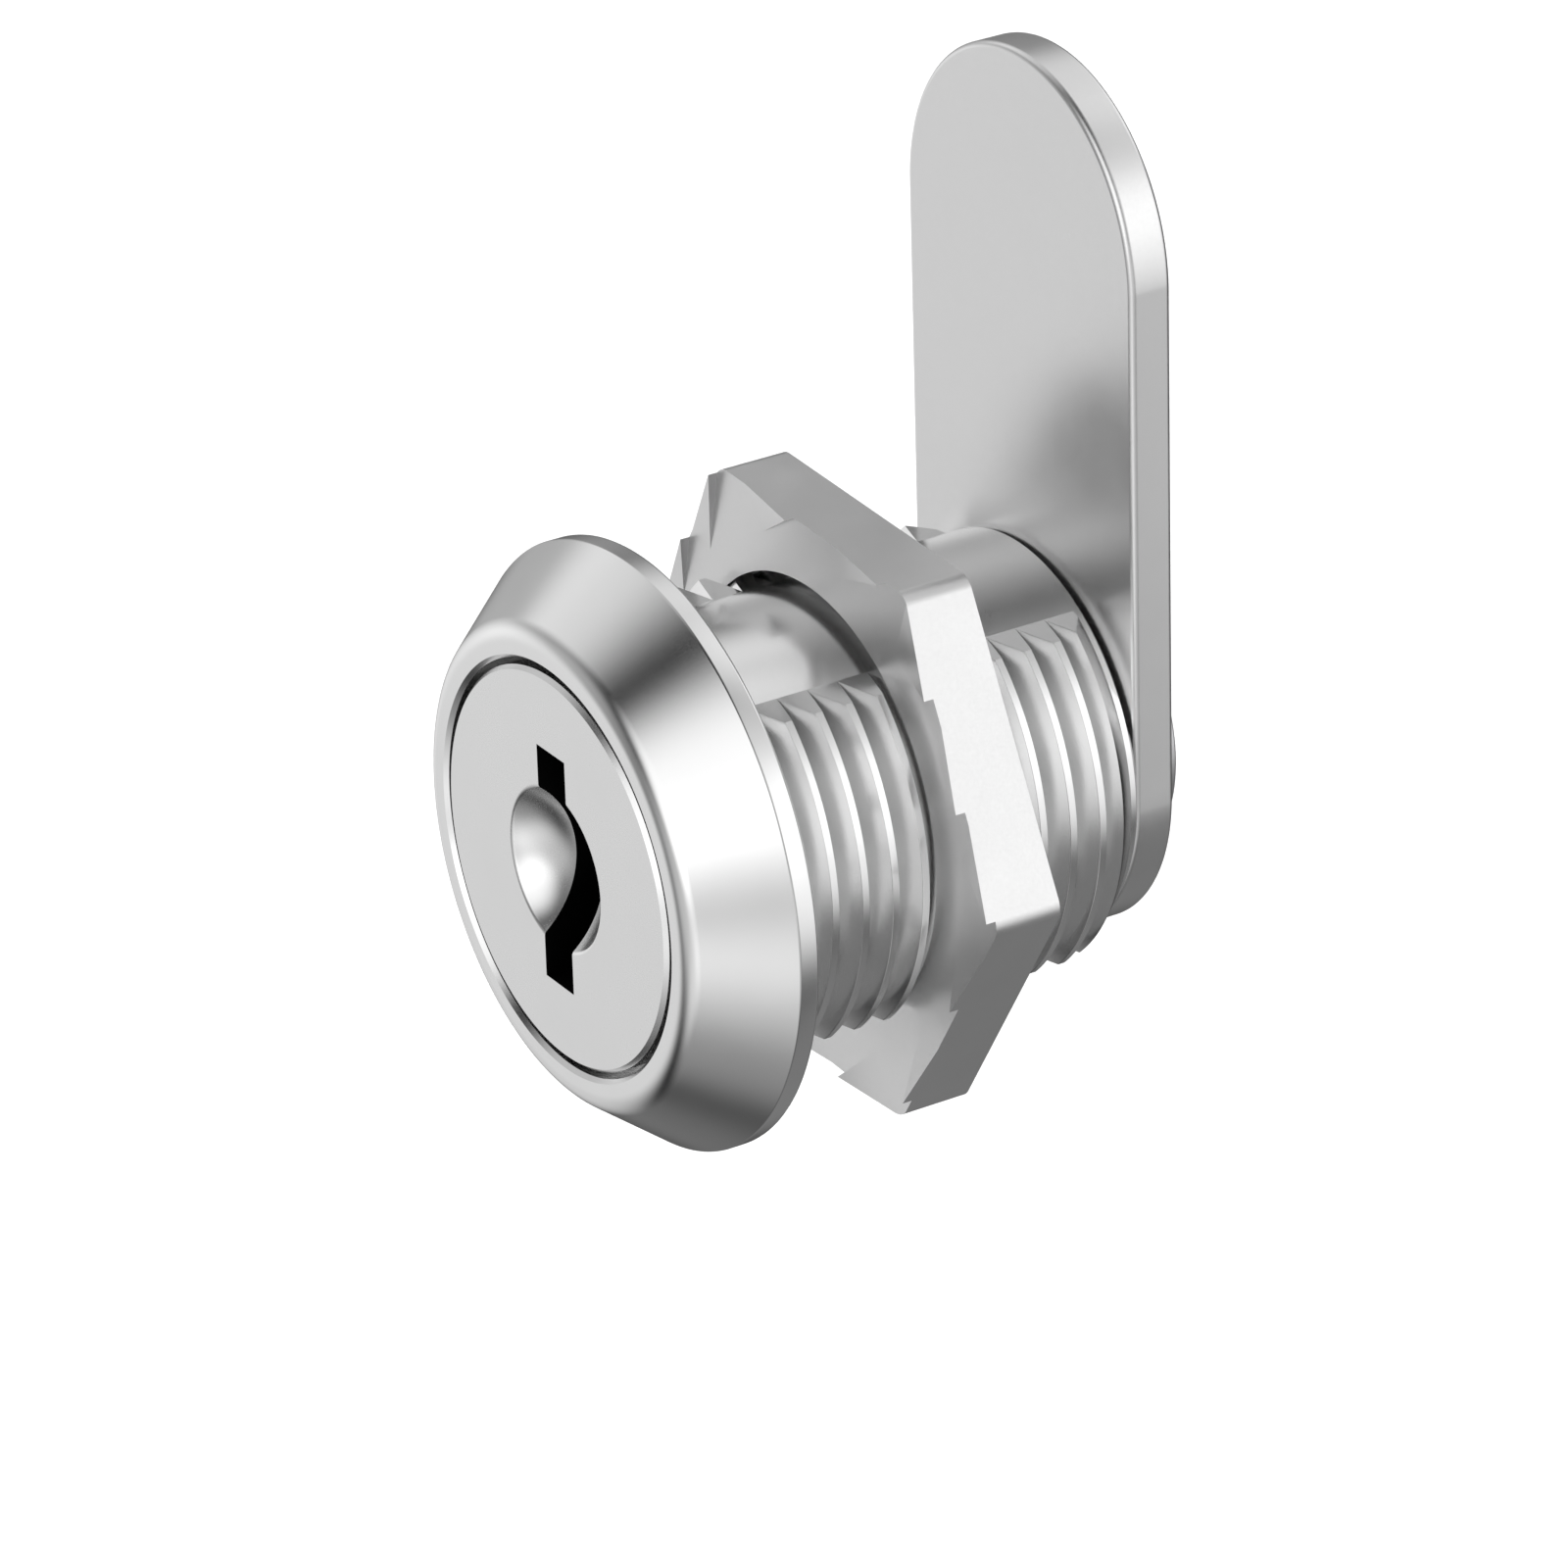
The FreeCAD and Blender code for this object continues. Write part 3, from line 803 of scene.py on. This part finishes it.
@dataclass
class Cam:
    """Flat cam with full-radius ends, softened edges and an eight-point hole."""

    star_half_width: float = 3.36
    heel: float = 0.40
    edge_radius: float = 0.25

    def make(self) -> bpy.types.Object:
        """Model the cam and hang it on its body.

        Returns:
            The finished piece.
        """
        low, high = cad_span("cam")
        radius = high.x
        cam = disc("straight_cam", radius, low.y, high.y, 256)
        self._stretch(cam, 1, high.z - radius)
        self._stretch(cam, -1, self.heel)
        soften(cam, self.edge_radius, 6, 50.0)
        half = self.star_half_width
        for turn in (0, 45):
            square = slab("square", (-half, low.y - OVERRUN, -half), (half, high.y + OVERRUN, half))
            square.data.transform(Matrix.Rotation(math.radians(turn), 4, "Y"))
            combine(cam, square, BooleanKind.CUT)
        dress(cam, CAM_STEEL)
        finish_piece(cam, Body.PLUG, ["cam"])
        return cam

    def _stretch(self, cam: bpy.types.Object, side: int, distance: float) -> None:
        """Move the upper (1) or lower (-1) half of the disc's rim away from the axis."""
        take(cam)
        bpy.ops.object.mode_set(mode="EDIT")
        bpy.ops.mesh.select_mode(type="VERT")
        bpy.ops.mesh.select_all(action="DESELECT")
        bpy.ops.object.mode_set(mode="OBJECT")
        for vertex in cam.data.vertices:
            vertex.select = vertex.co.z * side > 0.01
        bpy.ops.object.mode_set(mode="EDIT")
        bpy.ops.transform.translate(value=(0, 0, side * distance))
        bpy.ops.object.mode_set(mode="OBJECT")


@dataclass
class CamScrew:
    """Domed cross-recess screw."""

    rim_height: float = 0.60
    rim_chamfer: float = 0.15
    shaft_radius: float = 2.45
    shaft_chamfer: float = 0.2
    dome_steps: int = 20
    cross_width: float = 1.10
    cross_length: float = 4.60
    cross_depth: float = 1.60
    cross_taper: float = 0.55

    def make(self) -> bpy.types.Object:
        """Model the screw and hang it on its body.

        Returns:
            The finished piece.
        """
        low, high = cad_span("cam_screw")
        seat = cad_span("lock_washer")[1].y
        radius = high.x
        rise = high.y - seat - self.rim_height
        angles = [math.radians(90 * step / self.dome_steps) for step in range(self.dome_steps)]
        dome = [(radius * math.cos(a), seat + self.rim_height + rise * math.sin(a)) for a in angles]
        shaft, cut = self.shaft_radius, self.shaft_chamfer
        outline = [(0, low.y), (shaft - cut, low.y), (shaft, low.y + cut), (shaft, seat),
                   (radius - self.rim_chamfer, seat), (radius, seat + self.rim_chamfer), *dome, (0, high.y)]
        screw = lathe("cam_fixing_screw", outline, 128, closed=False)
        for across in (False, True):
            combine(screw, self._cross_bar(across, high.y), BooleanKind.CUT)
        soften(screw, 0.06, 2, 40.0)
        dress(screw, SCREW_STEEL)
        finish_piece(screw, Body.PLUG, ["cam_screw"])
        return screw

    def _cross_bar(self, across: bool, top: float) -> bpy.types.Object:
        """One arm of the driver recess, narrower at its floor."""
        width, length = self.cross_width / 2, self.cross_length / 2
        half_x, half_z = (length, width) if across else (width, length)
        floor = top - self.cross_depth
        bar = slab("bar", (-half_x, floor, -half_z), (half_x, top + OVERRUN, half_z))
        for vertex in bar.data.vertices:
            if vertex.co.y < top:
                vertex.co.x *= self.cross_taper
                vertex.co.z *= self.cross_taper
        return bar


@dataclass
class LockWasher:
    """Split spring washer under the screw head."""

    inner_radius: float = 2.65
    gap_angle: float = 8.0

    def make(self) -> bpy.types.Object:
        """Model the washer and hang it on its body.

        Returns:
            The finished piece.
        """
        low, high = cad_span("lock_washer")
        outer = high.x
        outline = [(self.inner_radius, low.y), (outer, low.y), (outer, high.y), (self.inner_radius, high.y)]
        washer = lathe("split_washer", outline, 120, closed=True, sweep=360 - self.gap_angle,
                       start=self.gap_angle)
        soften(washer, 0.12, 3, 50.0)
        dress(washer, WASHER_STEEL)
        finish_piece(washer, Body.PLUG, ["lock_washer"])
        return washer


@dataclass
class RetainingSpring:
    """Coil under the retaining wafer."""

    coil_radius: float = 0.52
    wire_radius: float = 0.11
    turns: int = 5
    steps_per_turn: int = 32
    press: float = 0.80

    def make(self) -> bpy.types.Object:
        """Model the coil and hang it on its body.

        Returns:
            The finished piece.
        """
        low, high = cad_span("retaining_spring")
        centre = (low + high) / 2
        deselect()
        bpy.ops.mesh.primitive_circle_add(vertices=12, radius=self.wire_radius,
                                          location=(self.coil_radius, 0, 0), rotation=(math.pi / 2, 0, 0))
        coil = bpy.context.object
        coil.name = "retaining_spring_coil"
        bpy.ops.object.transform_apply(location=True, rotation=True, scale=True)
        wind = coil.modifiers.new("wind", "SCREW")
        wind.axis = "Z"
        wind.iterations = self.turns
        wind.screw_offset = (high.z - low.z - 2 * self.wire_radius) / self.turns
        wind.steps = wind.render_steps = self.steps_per_turn
        bpy.ops.object.modifier_apply(modifier=wind.name)
        bpy.ops.object.mode_set(mode="EDIT")
        bpy.ops.mesh.select_all(action="SELECT")
        bpy.ops.mesh.fill_holes(sides=0)
        bpy.ops.object.mode_set(mode="OBJECT")
        coil.data.transform(Matrix.Translation((centre.x, centre.y, low.z + self.wire_radius)))
        dress(coil, SPRING_BRONZE)
        finish_piece(coil, Body.PLUG, ["retaining_spring"])
        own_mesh(coil)
        return coil


@dataclass
class InnerWorks:
    """Wafers and their springs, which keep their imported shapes."""

    wafer_count: int = 8

    def dress(self) -> None:
        """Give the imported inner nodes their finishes."""
        numbers = range(1, self.wafer_count + 1)
        plates = ["wafer_%d" % n for n in numbers] + ["retaining_wafer"]
        coils = ["wafer_spring_%d" % n for n in numbers]
        for names, finish in ((plates, WAFER_BRASS), (coils, SPRING_BRONZE)):
            for name in names:
                dress(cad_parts[name], finish)
                log.info("%s dressed in %s", name, finish.name)


# ---------------------------------------------------------------- studio


@dataclass(frozen=True)
class Glow:
    """A soft patch of light in the studio's surroundings."""

    azimuth: float
    elevation: float
    strength: float
    full_within: float = 6.0
    gone_beyond: float = 40.0

    def direction(self) -> Vector:
        """Direction of the middle of the patch; azimuth 0 is the key side and 90 is +X."""
        a, e = math.radians(self.azimuth), math.radians(self.elevation)
        return Vector((math.sin(a) * math.cos(e), -math.cos(a) * math.cos(e), math.sin(e)))


@dataclass
class Studio:
    """Camera, surroundings, lamp and floor."""

    azimuth: float = 58.60
    elevation: float = 26.17
    roll: float = -1.69
    distance: float = 305.04
    target: tuple[float, float, float] = (1.91, 4.72, 1.80)
    lens: float = 188.04
    floor_drop: float = 40.0
    floor_radius: float = 900.0
    base_light: float = 0.004
    glows: tuple[Glow, ...] = (
        Glow(25, 25, 1.10), Glow(130, 5, 0.87), Glow(-165, 40, 0.80), Glow(-72, -25, 0.59),
        Glow(-80, 49, 0.56), Glow(13, -18, 0.53), Glow(110, 32, 0.46), Glow(65, -28, 0.33),
        Glow(33, -49, 0.29), Glow(143, 54, 0.28), Glow(45, -2, 0.26), Glow(-92, 2, 0.24),
        Glow(-60, 18, 0.23), Glow(-40, -8, 0.22), Glow(163, 21, 0.19), Glow(78, 14, 0.19),
        Glow(-112, 28, 0.15), Glow(98, -11, 0.14), Glow(170, -54, 0.12), Glow(-105, -44, 0.08),
        Glow(-137, -76, 0.08), Glow(118, -40, 0.06), Glow(150, -21, 0.06),
    )
    lamp_power: float = 9.0
    lamp_height: float = 0.9
    lamp_size: float = 0.9

    def make(self) -> None:
        """Set up everything that isn't the lock."""
        self._camera()
        self._surroundings()
        self._floor()
        self._lamp()
        log.info("studio ready")

    def _camera(self) -> None:
        """Place the camera on its line of sight."""
        a, e = math.radians(self.azimuth), math.radians(self.elevation)
        back = Vector((math.sin(a) * math.cos(e), -math.cos(a) * math.cos(e), math.sin(e)))
        right = Vector((math.cos(a), math.sin(a), 0))
        up = back.cross(right)
        turn = math.radians(self.roll)
        tilted_right = right * math.cos(turn) + up * math.sin(turn)
        tilted_up = up * math.cos(turn) - right * math.sin(turn)
        data = bpy.data.cameras.new("camera")
        data.lens = self.lens
        data.sensor_width = 36.0
        data.clip_start = 0.01
        data.clip_end = 10.0
        camera = bpy.data.objects.new("camera", data)
        bpy.context.scene.collection.objects.link(camera)
        spot = (Vector(self.target) + back * self.distance) * MM
        axes = Matrix((tilted_right, tilted_up, back)).transposed().to_4x4()
        camera.matrix_world = Matrix.Translation(spot) @ axes
        bpy.context.scene.camera = camera

    def _surroundings(self) -> None:
        """Paint the soft boxes round the lock."""
        world = bpy.data.worlds.new("studio")
        bpy.context.scene.world = world
        world.use_nodes = True
        tree = world.node_tree
        tree.nodes.clear()
        direction = tree.nodes.new("ShaderNodeTexCoord").outputs["Generated"]
        total = None
        for glow in self.glows:
            dot = tree.nodes.new("ShaderNodeVectorMath")
            dot.operation = "DOT_PRODUCT"
            dot.inputs[1].default_value = glow.direction()
            tree.links.new(direction, dot.inputs[0])
            patch = tree.nodes.new("ShaderNodeMapRange")
            patch.interpolation_type = "SMOOTHSTEP"
            patch.inputs["From Min"].default_value = math.cos(math.radians(glow.gone_beyond))
            patch.inputs["From Max"].default_value = math.cos(math.radians(glow.full_within))
            patch.inputs["To Min"].default_value = 0.0
            patch.inputs["To Max"].default_value = glow.strength
            tree.links.new(dot.outputs["Value"], patch.inputs["Value"])
            total = self._added(tree, total, patch.outputs["Result"])
        background = tree.nodes.new("ShaderNodeBackground")
        background.inputs["Color"].default_value = (1, 1, 1, 1)
        tree.links.new(total, background.inputs["Strength"])
        output = tree.nodes.new("ShaderNodeOutputWorld")
        tree.links.new(background.outputs["Background"], output.inputs["Surface"])

    def _added(self, tree: bpy.types.NodeTree, total: bpy.types.NodeSocket | None,
               more: bpy.types.NodeSocket) -> bpy.types.NodeSocket:
        """Sum of the light so far and one more patch, starting from the base light."""
        add = tree.nodes.new("ShaderNodeMath")
        add.operation = "ADD"
        if total is None:
            add.inputs[0].default_value = self.base_light
        else:
            tree.links.new(total, add.inputs[0])
        tree.links.new(more, add.inputs[1])
        return add.outputs["Value"]

    def _floor(self) -> None:
        """Pale round floor well below the lock, which its metal doesn't mirror."""
        deselect()
        height = cad_bounds[0].z - self.floor_drop * MM
        bpy.ops.mesh.primitive_circle_add(vertices=96, radius=self.floor_radius * MM,
                                          fill_type="NGON", location=(0, 0, height))
        floor = bpy.context.object
        floor.name = "studio_floor"
        material = bpy.data.materials.new("floor_paper")
        material.use_nodes = True
        shader = material.node_tree.nodes["Principled BSDF"]
        shader.inputs["Base Color"].default_value = (0.9, 0.9, 0.9, 1)
        shader.inputs["Roughness"].default_value = 1.0
        shader.inputs["Specular IOR Level"].default_value = 0.0
        floor.data.materials.append(material)
        floor.visible_glossy = False

    def _lamp(self) -> None:
        """Large overhead lamp for the floor, kept out of the metal's reflections."""
        data = bpy.data.lights.new("overhead", "AREA")
        data.shape = "DISK"
        data.size = self.lamp_size
        data.energy = self.lamp_power
        lamp = bpy.data.objects.new("overhead", data)
        bpy.context.scene.collection.objects.link(lamp)
        lamp.location = (0, 0, self.lamp_height)
        lamp.visible_glossy = False


# ---------------------------------------------------------------- the whole lock


def main() -> None:
    """Build every piece of the lock and the studio round it."""
    logging.basicConfig(level=logging.INFO, format="%(message)s")
    bpy.context.scene.view_settings.view_transform = "Standard"
    Studio().make()
    thread = Thread()
    makers: list[Callable[[], bpy.types.Object]] = [
        Housing(thread).make,
        Plug().make,
        Nut(thread).make,
        Cam().make,
        LockWasher().make,
        CamScrew().make,
        RetainingSpring().make,
    ]
    for make in makers:
        make()
    InnerWorks().dress()
    deselect()


if __name__ == "__main__":
    main()
